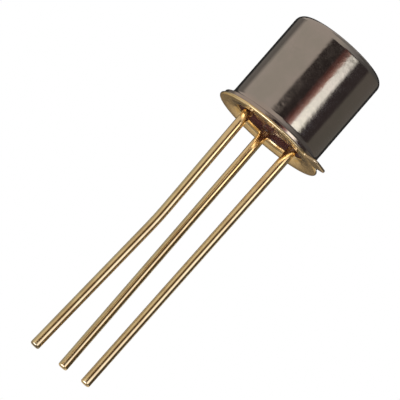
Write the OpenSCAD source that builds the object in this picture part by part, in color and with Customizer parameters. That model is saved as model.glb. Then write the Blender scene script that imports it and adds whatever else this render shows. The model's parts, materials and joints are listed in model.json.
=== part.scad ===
// Small-signal bipolar transistor in a round metal can with three wire leads.
//
// The drawn can is welded by its flange to a gold-plated header. Glass in the header's cup
// seals the leads. Inside, the silicon die is bonded to the top of the cup, and two fine
// wires run from its contacts to the tops of the base lead and the emitter lead.
//
// The origin is the centre of the seating plane, the underside of the header's flange.
// +Z runs along the can towards its closed top, and the leads point down.
// The collector lead stands at -X, the emitter lead at +X and the base lead at +Y.

/* [Can] */
// Outside diameter of the can
can_d = 4.7; // [4.55:0.01:4.95]
// Height of the can's top above the seating plane
can_h = 5.0; // [4.4:0.01:5.3]
// Thickness of the drawn sheet
can_wall = 0.2; // [0.16:0.01:0.24]
// Outside radius of the top corner
can_corner_r = 0.36; // [0.28:0.01:0.5]
// Diameter of the can's flange
can_flange_d = 5.25; // [5.2:0.01:5.38]
// Thickness of the can's flange
can_flange_t = 0.14; // [0.12:0.01:0.18]
// Outside radius where the wall turns out into the flange
can_root_r = 0.2; // [0.12:0.01:0.22]

/* [Header] */
// Diameter of the header's flange
flange_d = 5.45; // [5.4:0.01:5.84]
// Thickness of the header's flange
header_flange_t = 0.13; // [0.11:0.01:0.18]
// Radius of the rounded edge of either flange
flange_edge_r = 0.05; // [0.02:0.005:0.05]
// Gap between the cup and the inside of the can
cup_gap = 0.12; // [0.09:0.01:0.16]
// Thickness of the cup's side
cup_wall = 0.25; // [0.2:0.01:0.27]
// Height of the cup's top above the seating plane
cup_h = 1.1; // [1.0:0.01:1.3]
// Thickness of the cup's top
cup_top_t = 0.25; // [0.2:0.01:0.3]
// Outside radius of the cup's top corner
cup_corner_r = 0.2; // [0.12:0.01:0.24]
// Inside radius of that corner
recess_corner_r = 0.06; // [0.03:0.01:0.1]
// Radius of the rim where the underside turns up into the cup
rim_r = 0.22; // [0.15:0.01:0.26]
// Radius between the flange's upper face and the cup's side
cup_root_r = 0.1; // [0.05:0.01:0.14]
// Diameter of the glass-filled hole round the base lead and round the emitter lead
eyelet_d = 0.88; // [0.8:0.01:1.0]

/* [Tab] */
// How far the index tab stands out past the flange
tab_l = 0.75; // [0.71:0.01:1.2]
// Width of the index tab
tab_w = 1.0; // [0.92:0.01:1.16]
// Radius of the tab's outer corners
tab_corner_r = 0.22; // [0.1:0.01:0.35]
// Angle from the emitter lead round to the tab, away from the base lead
tab_angle = 45; // [40:1:50]

/* [Glass] */
// Depth of the glass inside the cup, from the seating plane
glass_inset = 0.4; // [0.36:0.01:0.5]
// Height of the glass that clings to each lead
lead_meniscus = 0.15; // [0.08:0.01:0.18]
// Height of the glass that clings to the side of the cup
wall_meniscus = 0.08; // [0.04:0.01:0.1]

/* [Leads] */
// Diameter of the lead wire
lead_d = 0.46; // [0.41:0.01:0.52]
// Diameter of the circle that the leads stand on
lead_circle_d = 2.54; // [2.5:0.01:2.6]
// Length of the collector lead below the seating plane, along the wire
collector_l = 13.6; // [12.7:0.1:19]
// Length of the base and emitter leads, likewise
post_lead_l = 13.4; // [12.7:0.1:19]
// Chamfer at a lead's cut end
lead_tip_chamfer = 0.04; // [0.02:0.01:0.08]
// Radius of the small bend in each lead just under the seating plane
lead_bend_r = 8; // [4:1:12]
// Radius of the gentle knee half-way down the collector lead
knee_r = 20; // [12:1:30]
// Depth of the knee's middle below the seating plane, along the wire
knee_depth = 5.9; // [4:0.1:8]
// Lean of the collector lead towards the can's axis above the knee, in degrees
collector_lean_in = 0.6; // [0.4:0.1:1]
// Lean of the collector lead away from the can's axis below the knee, in degrees
collector_lean_out = 3.05; // [2:0.05:4]
// Lean of the base lead towards the can's axis, in degrees
base_lean = 0.75; // [0.6:0.05:1.5]
// Lean of the emitter lead towards the can's axis, in degrees
emitter_lean = 0.75; // [0.6:0.05:1.5]

/* [Posts] */
// Height of the posts inside the can above the cup's top
post_h = 0.42; // [0.3:0.01:0.6]
// Diameter of a post's flattened head
post_head_d = 0.62; // [0.54:0.01:0.7]
// Thickness of a post's flattened head
post_head_t = 0.1; // [0.06:0.01:0.14]

/* [Die] */
// Width of the square silicon die
die_w = 0.46; // [0.44:0.01:0.5]
// Thickness of the die
die_t = 0.16; // [0.12:0.01:0.2]
// Width of the gold preform that shows outside the die
preform_margin = 0.05; // [0.03:0.01:0.08]
// Thickness of the gold preform
preform_t = 0.025; // [0.02:0.005:0.04]
// Thickness of the aluminium contacts
contact_t = 0.01; // [0.008:0.001:0.012]
// Width left bare round the edge of the die
contact_margin = 0.025; // [0.02:0.005:0.03]
// Width of a contact finger, and of the gap to the next one
finger_w = 0.018; // [0.015:0.001:0.02]
// Number of fingers on each contact
fingers = 3; // [2:1:3]

/* [Bond wires] */
// Diameter of the bond wire
wire_d = 0.025; // [0.02:0.001:0.038]
// Diameter of the ball at the wire's die end
ball_d = 0.07; // [0.05:0.01:0.07]
// Thickness of the flattened ball
ball_t = 0.02; // [0.015:0.005:0.03]
// How strongly the wire rises from the die before it turns to the post
wire_rise = 0.9; // [0.7:0.05:1.2]
// How early the wire levels out before the post
wire_run_in = 0.4; // [0.3:0.05:0.5]
// Length of wire pressed flat on the post's head
wire_foot = 0.12; // [0.08:0.01:0.16]

/* [Hidden] */

$fn = 96;

// Radii from the outside in, and heights from the seating plane up
can_r = can_d / 2;
can_inner_r = can_r - can_wall;
can_foot = header_flange_t;
can_flange_r = can_flange_d / 2;
flange_r = flange_d / 2;
cup_r = can_inner_r - cup_gap;
recess_r = cup_r - cup_wall;
recess_top = cup_h - cup_top_t;
eyelet_foot = (recess_top + glass_inset) / 2;

// Leads
lead_r = lead_d / 2;
core_r = lead_r / 2;
core_lap = lead_r / 2;
lead_circle_r = lead_circle_d / 2;
collector_at = [-lead_circle_r, 0, 0];
base_at = [0, lead_circle_r, 0];
emitter_at = [lead_circle_r, 0, 0];
post_top = cup_h + post_h;

// Collector lead: straight run above the knee, then the knee, then what is left
knee_angle = collector_lean_in + collector_lean_out;
knee_arc_l = arc_length(knee_r, knee_angle);
knee_run_l = knee_depth - knee_arc_l / 2 - arc_length(lead_bend_r, collector_lean_in);
collector_end_l = collector_l - knee_depth - knee_arc_l / 2;

// Die stack on top of the cup
die_foot = cup_h + preform_t;
contact_foot = die_foot + die_t;
pad_top = contact_foot + contact_t;

// Contacts: two combs whose fingers lie between each other
finger_pitch = 4 * finger_w;
comb_half_w = (4 * fingers - 1) * finger_w / 2;
contact_reach = die_w / 2 - contact_margin;
bus_w = 2 * finger_w;
pad_w = contact_reach - comb_half_w - finger_w;
pad_at = [pad_w / 2 - contact_reach, contact_reach - pad_w / 2];

// Bond wires: sides of the tube, and steps along its loop
wire_sides = 8;
wire_steps = 28;
wire_r = wire_d / 2;
wire_neck = wire_r;
wire_end_z = post_top + wire_r * cos(180 / wire_sides);

// A bar w wide and h high, from the origin, with its outer upper corner rounded to r
module rounded_bar(w, h, r) {
    square([w, h - r]);
    square([w - r, h]);
    translate([w - r, h - r]) circle(r = r);
}

// What a radius r leaves between two faces that meet at the origin and run along +X and +Y
module hollow_corner(r) {
    difference() {
        square(r);
        translate([r, r]) circle(r = r);
    }
}

// Section of a disc of radius w and thickness t, with its edge rounded to r above and below
module edged_disc(w, t, r) {
    square([w - r, t]);
    translate([0, r]) square([w, t - 2 * r]);
    for (y = [r, t - r])
        translate([w - r, y]) circle(r = r);
}

// Half section of the drawn can: closed top, wall and welding flange
module can_section() {
    inner_root_r = can_root_r + can_flange_t;
    inner_h = can_h - can_foot - can_wall;
    translate([0, can_foot]) difference() {
        union() {
            rounded_bar(can_r, can_h - can_foot, can_corner_r);
            edged_disc(can_flange_r, can_flange_t, flange_edge_r);
            translate([can_r, can_flange_t]) hollow_corner(can_root_r);
        }
        rounded_bar(can_inner_r, inner_h, can_corner_r - can_wall);
        translate([can_inner_r, 0]) hollow_corner(inner_root_r);
    }
}

// Drawn can with its welding flange
module can() {
    color([0.38, 0.35, 0.33])
    rotate_extrude() can_section();
}

// Half section of the header: flange, turned-up rim and closed cup
module header_section() {
    difference() {
        union() {
            edged_disc(flange_r, header_flange_t, flange_edge_r);
            rounded_bar(cup_r, cup_h, cup_corner_r);
            translate([cup_r, header_flange_t]) hollow_corner(cup_root_r);
        }
        rounded_bar(recess_r, recess_top, recess_corner_r);
        translate([recess_r, 0]) hollow_corner(rim_r);
    }
}

// Index tab along +X, rooted inside the flange and as thick as it
module tab() {
    root = cup_r + cup_root_r;
    straight_end = flange_r + tab_l - tab_corner_r;
    corner_y = tab_w / 2 - tab_corner_r;
    linear_extrude(header_flange_t) {
        translate([root, -tab_w / 2]) square([straight_end - root, tab_w]);
        translate([straight_end, -corner_y]) square([tab_corner_r, 2 * corner_y]);
        for (side = [-1, 1])
            translate([straight_end, side * corner_y]) circle(r = tab_corner_r);
    }
}

// Round column of an eyelet hole, from half-way up the glass to the given height
module eyelet(at, top) {
    translate([at[0], at[1], eyelet_foot]) cylinder(d = eyelet_d, h = top - eyelet_foot);
}

// Stamped header with its index tab and its two eyelet holes
module header() {
    color([0.83, 0.68, 0.38])
    difference() {
        union() {
            rotate_extrude() header_section();
            rotate([0, 0, -tab_angle]) tab();
        }
        for (at = [base_at, emitter_at]) eyelet(at, 2 * cup_h);
    }
}

// Half section of the glass that fills the cup and clings to its side
module glass_section() {
    translate([0, glass_inset]) {
        rounded_bar(recess_r, recess_top - glass_inset, recess_corner_r);
        translate([recess_r, 0]) mirror([1, 0]) mirror([0, 1]) hollow_corner(wall_meniscus);
    }
}

// Glass that clings to a lead below the flat glass
module lead_glass(at) {
    translate([at[0], at[1], glass_inset]) rotate_extrude() mirror([0, 1]) {
        square([lead_r, lead_meniscus]);
        translate([lead_r, 0]) hollow_corner(lead_meniscus);
    }
}

// Glass filling the cup and the two eyelet holes, bored for the leads
module glass_seal() {
    color([0.2, 0.11, 0.13])
    difference() {
        union() {
            rotate_extrude() glass_section();
            for (at = [base_at, emitter_at]) eyelet(at, cup_h);
            for (at = [collector_at, base_at, emitter_at]) lead_glass(at);
        }
        for (at = [base_at, emitter_at])
            translate(at) cylinder(r = lead_r, h = 2 * cup_h);
        translate(collector_at) cylinder(r = lead_r, h = recess_top);
    }
}

// Straight wire from the origin down, with a chamfered cut end
module wire_down(length) {
    shaft = length - lead_tip_chamfer;
    translate([0, 0, -shaft]) cylinder(r = lead_r, h = shaft);
    translate([0, 0, -length])
        cylinder(r1 = lead_r - lead_tip_chamfer, r2 = lead_r, h = lead_tip_chamfer);
}

// Length of an arc of radius r over an angle in degrees
function arc_length(r, angle) = r * angle * PI / 180;

// Moves its children by v in a coarse step and a fine one, which keeps every digit of it
module moved(v) {
    coarse = [for (x = v) round(x * 1000) / 1000];
    translate(coarse) translate(v - coarse) children();
}

// Core of a wire through a bend and a little way into the straight runs on both sides of it
module bend_core(r, angle) {
    chord = 2 * r * sin(angle / 2);
    rotate([0, angle / 2, 0]) translate([0, 0, -chord - core_lap])
        cylinder(r = core_r, h = chord + 2 * core_lap);
}

// Bend of a wire from straight down towards -X, with its children standing at its end
module bend(r, angle) {
    bend_core(r, angle);
    translate([-r, 0, 0]) rotate([-90, 0, 0])
        rotate_extrude(angle = angle) translate([r, 0]) circle(r = lead_r);
    moved([r * (cos(angle) - 1), 0, -r * sin(angle)]) rotate([0, angle, 0]) children();
}

// Straight wire between two heights
module wire_shaft(foot, top) {
    translate([0, 0, foot]) cylinder(r = lead_r, h = top - foot);
}

// Flattened head of a post, to which a bond wire is welded
module post_head() {
    translate([0, 0, post_top - post_head_t]) cylinder(d = post_head_d, h = post_head_t);
}

// Collector lead, butt-welded to the underside of the cup's top; it leans in, then out
module collector_lead() {
    color([0.86, 0.7, 0.42])
    translate(collector_at) {
        wire_shaft(0, recess_top);
        rotate([0, 0, 180]) bend(lead_bend_r, collector_lean_in) {
            wire_shaft(-knee_run_l, 0);
            translate([0, 0, -knee_run_l]) rotate([0, 0, 180])
                bend(knee_r, knee_angle) wire_down(collector_end_l);
        }
    }
}

// Lead that passes up through the glass to its post, and leans below the seating plane
module post_lead(lean) {
    color([0.86, 0.7, 0.42]) {
        wire_shaft(0, post_top);
        post_head();
        bend(lead_bend_r, lean) wire_down(post_lead_l - arc_length(lead_bend_r, lean));
    }
}

// Base lead, with its post on the +Y side of the die
module base_lead() {
    translate(base_at) rotate([0, 0, 90]) post_lead(base_lean);
}

// Emitter lead, with its post on the +X side of the die
module emitter_lead() {
    translate(emitter_at) post_lead(emitter_lean);
}

// Square plate centred on the can's axis
module square_plate(w, t, foot) {
    translate([-w / 2, -w / 2, foot]) cube([w, w, t]);
}

// Gold preform that bonds the die to the cup
module die_preform() {
    color([0.9, 0.72, 0.35])
    square_plate(die_w + 2 * preform_margin, preform_t, cup_h);
}

// Silicon die
module die() {
    color([0.35, 0.36, 0.4])
    square_plate(die_w, die_t, die_foot);
}

// Comb contact whose bus runs along the die's -X side up to its bond pad
module comb_contact() {
    finger_end = contact_reach - bus_w - finger_w;
    translate([0, 0, contact_foot]) linear_extrude(contact_t) {
        translate([-contact_reach, -comb_half_w])
            square([bus_w, contact_reach + comb_half_w]);
        for (i = [0 : fingers - 1])
            translate([-contact_reach, i * finger_pitch - comb_half_w])
                square([contact_reach + finger_end, finger_w]);
        translate([pad_at[0] - pad_w / 2, pad_at[1] - pad_w / 2]) square(pad_w);
    }
}

// Aluminium contact of the base, on the base lead's side of the die
module base_contact() {
    color([0.8, 0.81, 0.83])
    comb_contact();
}

// Aluminium contact of the emitter, the same comb turned half-way round
module emitter_contact() {
    color([0.8, 0.81, 0.83])
    rotate([0, 0, 180]) comb_contact();
}

// A bond wire is drawn in its own upright plane. A point there is [along, up].
function loop_points(reach) = [
    [0, pad_top + ball_t + wire_neck],
    [0, pad_top + ball_t + wire_neck + wire_rise],
    [reach - wire_foot / 2 - wire_run_in, wire_end_z],
    [reach - wire_foot / 2, wire_end_z]
];

// Point at t from 0 to 1 along a cubic curve with the four control points p
function curve_at(p, t) =
    pow(1 - t, 3) * p[0] + 3 * pow(1 - t, 2) * t * p[1]
    + 3 * (1 - t) * t * t * p[2] + pow(t, 3) * p[3];

// Direction of that curve at t, as an angle above the horizontal
function curve_slope(p, t) =
    let (
        d = pow(1 - t, 2) * (p[1] - p[0]) + 2 * (1 - t) * t * (p[2] - p[1])
            + t * t * (p[3] - p[2])
    )
    atan2(d[1], d[0]);

// Rings of a bond wire, each [centre, slope, radius]: ball, loop and pressed foot
function wire_rings(reach) =
    let (p = loop_points(reach))
    concat(
        [for (z = [pad_top, pad_top + ball_t]) [[0, z], 90, ball_d / 2]],
        [for (i = [0 : wire_steps])
            [curve_at(p, i / wire_steps), curve_slope(p, i / wire_steps), wire_r]],
        [[[reach + wire_foot / 2, wire_end_z], 0, wire_r]]
    );

// Corners of one ring, in [along, across, up]
function ring_corners(ring) = [
    for (i = [0 : wire_sides - 1])
        let (
            a = (i + 0.5) * 360 / wire_sides,
            rise = ring[2] * sin(a)
        )
        [
            ring[0][0] - rise * sin(ring[1]),
            ring[2] * cos(a),
            ring[0][1] + rise * cos(ring[1])
        ]
];

// Bond wire from its ball on a pad to its foot on a post's head
module bond_wire(pad, post) {
    across = [post[0] - pad[0], post[1] - pad[1]];
    rings = wire_rings(norm(across));
    n = wire_sides;
    last = len(rings) - 1;
    color([0.95, 0.76, 0.36])
    translate([pad[0], pad[1], 0]) rotate([0, 0, atan2(across[1], across[0])])
        polyhedron(
            points = [for (ring = rings, corner = ring_corners(ring)) corner],
            faces = concat(
                [[for (i = [0 : n - 1]) i]],
                [for (k = [0 : last - 1], i = [0 : n - 1])
                    [k * n + i, (k + 1) * n + i, (k + 1) * n + (i + 1) % n, k * n + (i + 1) % n]],
                [[for (i = [0 : n - 1]) last * n + n - 1 - i]]
            )
        );
}

// Bond wire of the base
module base_wire() {
    bond_wire(pad_at, base_at);
}

// Bond wire of the emitter
module emitter_wire() {
    bond_wire(-pad_at, emitter_at);
}

can();
header();
glass_seal();
collector_lead();
base_lead();
emitter_lead();
die_preform();
die();
base_contact();
emitter_contact();
base_wire();
emitter_wire();
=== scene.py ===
"""Small metal-can transistor: a flanged can, a gold-plated header, a glass seal and three leads."""

from __future__ import annotations

import json
import logging
import math
from collections.abc import Callable, Iterable, Sequence
from dataclasses import dataclass
from enum import Enum
from typing import Any

import bmesh
import bpy
from mathutils import Matrix, Vector
from mathutils.geometry import delaunay_2d_cdt

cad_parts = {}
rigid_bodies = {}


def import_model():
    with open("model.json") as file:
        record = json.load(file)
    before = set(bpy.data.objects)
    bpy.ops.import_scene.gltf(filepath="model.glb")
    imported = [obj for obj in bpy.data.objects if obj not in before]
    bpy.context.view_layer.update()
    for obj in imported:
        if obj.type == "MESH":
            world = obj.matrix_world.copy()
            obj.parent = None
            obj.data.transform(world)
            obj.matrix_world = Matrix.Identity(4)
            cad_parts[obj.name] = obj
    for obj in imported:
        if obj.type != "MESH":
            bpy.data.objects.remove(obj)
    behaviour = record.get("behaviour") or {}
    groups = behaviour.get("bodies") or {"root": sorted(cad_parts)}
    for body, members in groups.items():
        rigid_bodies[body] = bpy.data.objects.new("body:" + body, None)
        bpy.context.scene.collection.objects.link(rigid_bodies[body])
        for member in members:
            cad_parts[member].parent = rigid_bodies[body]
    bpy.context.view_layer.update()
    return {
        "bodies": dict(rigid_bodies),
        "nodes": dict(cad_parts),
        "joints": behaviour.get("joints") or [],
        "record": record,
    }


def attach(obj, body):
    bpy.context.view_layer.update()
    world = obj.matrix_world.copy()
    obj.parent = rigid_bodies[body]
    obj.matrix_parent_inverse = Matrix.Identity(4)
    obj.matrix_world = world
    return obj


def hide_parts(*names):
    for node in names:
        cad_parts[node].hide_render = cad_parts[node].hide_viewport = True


LOG = logging.getLogger("transistor")

MM = 0.001
BODY = "root"
ORIGIN = (0.0, 0.0)
UP = Vector((0.0, 0.0, 1.0))
SHARP = 32.0  # degrees between two faces from which their edge stays sharp
WELD, PLAN_WELD = 1e-6, 1e-7  # millimetres within which points are one, in a mesh and a plan
ON_AXIS = 1e-9  # radius in millimetres below which a ring is one point
INSIDE_BORDER = 1  # triangulation that keeps only what lies inside the borders
ROW = 0.866  # height of a row of equal triangles, as a part of their side
MIX_FIRST, MIX_SECOND, MIX_RESULT = 6, 7, 2  # sockets of a Mix node that is set to colours

Point = tuple[float, float]
Colour = tuple[float, float, float]
Rings = list[list[Vector]]
Mesh = bmesh.types.BMesh
Object = bpy.types.Object
Material = bpy.types.Material
Tree = bpy.types.NodeTree
Node = bpy.types.Node
Socket = bpy.types.NodeSocket


class Slot(Enum):
    """Material slots of the part."""

    CAN = "can_metal"
    GOLD = "gold_plating"
    GLASS = "seal_glass"
    SILICON = "silicon"
    CONTACT = "contact_metal"
    WIRE = "gold_wire"


class Axis(Enum):
    """Direction in which a wire leans, as a step in x and y."""

    MINUS_X = (-1.0, 0.0)
    MINUS_Y = (0.0, -1.0)


# ---------------------------------------------------------------- outlines and meshes


def polar(at: Point, radius: float, angle: float) -> Point:
    """Point at a radius and an angle, in radians, from another point."""
    return (at[0] + radius * math.cos(angle), at[1] + radius * math.sin(angle))


def arc(centre: Point, radius: float, start: float, end: float, steps: int) -> list[Point]:
    """Points along an arc.

    Args:
        centre: Centre of the arc.
        radius: Radius of the arc.
        start: First angle, in degrees.
        end: Last angle, in degrees.
        steps: Number of chords.

    Returns:
        The points, both ends among them.
    """
    angles = (math.radians(start + (end - start) * i / steps) for i in range(steps + 1))
    return [polar(centre, radius, a) for a in angles]


def circle(centre: Point, radius: float, count: int, turn: float = 0.0) -> list[Point]:
    """Points round a circle, anticlockwise, turned by a part of the step between them."""
    return [polar(centre, radius, math.tau * (i + turn) / count) for i in range(count)]


def held(section: Sequence[Point], hold: float = 0.008) -> list[Point]:
    """Adds a point near both ends of each long flat, which keeps the flat's shading flat.

    Args:
        section: Points of the section, in millimetres.
        hold: Distance of the added points from the flat's ends.

    Returns:
        The denser section.
    """
    long_flat = 6 * hold
    out = [section[0]]
    for a, b in zip(section, section[1:], strict=False):
        length = math.dist(a, b)
        if length > long_flat:
            near, far = hold / length, 1 - hold / length
            out += [(a[0] + (b[0] - a[0]) * t, a[1] + (b[1] - a[1]) * t) for t in (near, far)]
        out.append(b)
    return out


def new_object(name: str, mesh: Mesh, sharp: float = SHARP) -> Object:
    """Turns a mesh in millimetres into a smooth-shaded object in metres.

    Args:
        name: Name of the piece.
        mesh: The mesh, which is freed.
        sharp: Angle between two faces, in degrees, from which their edge stays sharp.

    Returns:
        The linked object.
    """
    bmesh.ops.remove_doubles(mesh, verts=mesh.verts, dist=WELD)
    bmesh.ops.recalc_face_normals(mesh, faces=mesh.faces)
    bmesh.ops.scale(mesh, vec=(MM, MM, MM), verts=mesh.verts)
    data = bpy.data.meshes.new(name)
    mesh.to_mesh(data)
    mesh.free()
    data.shade_smooth()
    data.set_sharp_from_angle(angle=math.radians(sharp))
    return linked(name, data)


def linked(name: str, data: bpy.types.ID) -> Object:
    """Puts data into a new object in the scene.

    Args:
        name: Name of the object.
        data: Its mesh, camera or lamp.

    Returns:
        The object.
    """
    obj = bpy.data.objects.new(name, data)
    bpy.context.scene.collection.objects.link(obj)
    return obj


def skin(mesh: Mesh, rings: Sequence[Sequence[Vector]]) -> None:
    """Joins rings of points by quads; a ring of one point closes an end.

    Args:
        mesh: The mesh that gets the faces.
        rings: Rings with the same number of points, or with one point.
    """
    made = [[mesh.verts.new(p) for p in ring] for ring in rings]
    for low, high in zip(made, made[1:], strict=False):
        count = max(len(low), len(high))
        for i in range(count):
            j = (i + 1) % count
            around = [(low, i), (low, j), (high, j), (high, i)]
            unique = list(dict.fromkeys(ring[k % len(ring)] for ring, k in around))
            if len(unique) > 2:
                mesh.faces.new(unique)


def turned(section: Sequence[Point], steps: int, at: Point = ORIGIN) -> Rings:
    """Rings of a turned shape.

    Args:
        section: Radius and height of each ring, in millimetres.
        steps: Number of points round each ring.
        at: Place of the axis.

    Returns:
        One ring of points for each point of the section.
    """
    rings = []
    for r, z in section:
        points = [at] if r < ON_AXIS else circle(at, r, steps)
        rings.append([Vector((x, y, z)) for x, y in points])
    return rings


def shift_outline(outline: Sequence[Point], inward: float) -> list[Point]:
    """An outline moved inwards along its own normals.

    Args:
        outline: Points of a closed outline, anticlockwise.
        inward: Distance to move.

    Returns:
        The moved points.
    """
    out = []
    count = len(outline)
    for i, (x, y) in enumerate(outline):
        before, after = outline[i - 1], outline[(i + 1) % count]
        along = Vector((after[0] - before[0], after[1] - before[1])).normalized()
        out.append((x - along.y * inward, y + along.x * inward))
    return out


def cut_by(obj: Object, cutters: Iterable[Object]) -> None:
    """Cuts holes into a piece and removes the cutters.

    Args:
        obj: The piece.
        cutters: Closed shapes to take out of it.
    """
    cutters = list(cutters)
    for cutter in cutters:
        modifier = obj.modifiers.new("cut", "BOOLEAN")
        modifier.operation = "DIFFERENCE"
        modifier.solver = "EXACT"
        modifier.object = cutter
    graph = bpy.context.evaluated_depsgraph_get()
    data = bpy.data.meshes.new_from_object(obj.evaluated_get(graph))
    obj.modifiers.clear()
    obj.data = data
    for cutter in cutters:
        bpy.data.objects.remove(cutter)


# ---------------------------------------------------------------- shader nodes and effects


def put(
    tree: Tree, kind: str, inputs: dict[str | int, object] | None = None, **settings: object
) -> Node:
    """Adds a node, sets it up and links or fills its inputs.

    Args:
        tree: Tree that gets the node.
        kind: Type of the node, without its prefix.
        inputs: Value or source socket of each input.
        **settings: Properties of the node.

    Returns:
        The node.
    """
    node = tree.nodes.new("ShaderNode" + kind)
    for key, value in settings.items():
        setattr(node, key, value)
    for key, value in (inputs or {}).items():
        if isinstance(value, Socket):
            tree.links.new(value, node.inputs[key])
        else:
            node.inputs[key].default_value = value
    return node


def rgba(colour: Colour) -> tuple[float, float, float, float]:
    """A colour with full alpha."""
    return (*colour, 1.0)


def tone(value: float, warm: float = 0.0) -> Colour:
    """A grey, made warmer by taking some green and more blue out of it."""
    return (value, value * (1 - 0.5 * warm), value * (1 - warm))


def maths(
    tree: Tree,
    operation: str,
    first: Socket | float | tuple,
    second: Socket | float | tuple = 0.0,
    kind: str = "Math",
) -> Socket:
    """Result of one maths step; kind is VectorMath where it works on vectors."""
    return put(tree, kind, {0: first, 1: second}, operation=operation).outputs[0]


def scaled(tree: Tree, factors: tuple[float, float, float] = (1.0, 1.0, 1.0)) -> Socket:
    """Object coordinates in millimetres, times a factor on each axis."""
    place = put(tree, "TexCoord").outputs["Object"]
    return maths(tree, "MULTIPLY", place, tuple(f / MM for f in factors), kind="VectorMath")


def blended(tree: Tree, mask: Socket, first: Socket | Colour, second: Socket | Colour) -> Socket:
    """Blends two colours.

    Args:
        tree: Tree that gets the node.
        mask: Part of the second colour.
        first: Colour where the mask is nothing.
        second: Colour where the mask is full.

    Returns:
        The colour socket.
    """
    start, end = (v if isinstance(v, Socket) else rgba(v) for v in (first, second))
    inputs = {0: mask, MIX_FIRST: start, MIX_SECOND: end}
    return put(tree, "Mix", inputs, data_type="RGBA").outputs[MIX_RESULT]


def mapped(
    tree: Tree,
    value: Socket,
    start: Socket | float = 0.0,
    end: Socket | float = 1.0,
    low: float = 0.0,
    high: float = 1.0,
) -> Socket:
    """Value that runs from low to high while the given one goes from start to end.

    Args:
        tree: Tree that gets the node.
        value: The given value.
        start: Value at which the result is low.
        end: Value at which the result is high.
        low: Result up to start.
        high: Result from end on.

    Returns:
        The value socket.
    """
    inputs = {"Value": value, "From Min": start, "From Max": end, "To Min": low, "To Max": high}
    return put(tree, "MapRange", inputs).outputs["Result"]


def faded(tree: Tree, value: Socket, full: Socket | float, gone: Socket | float) -> Socket:
    """Mask that is full up to one value and gone from another on."""
    return mapped(tree, value, full, gone, low=1.0, high=0.0)


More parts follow.
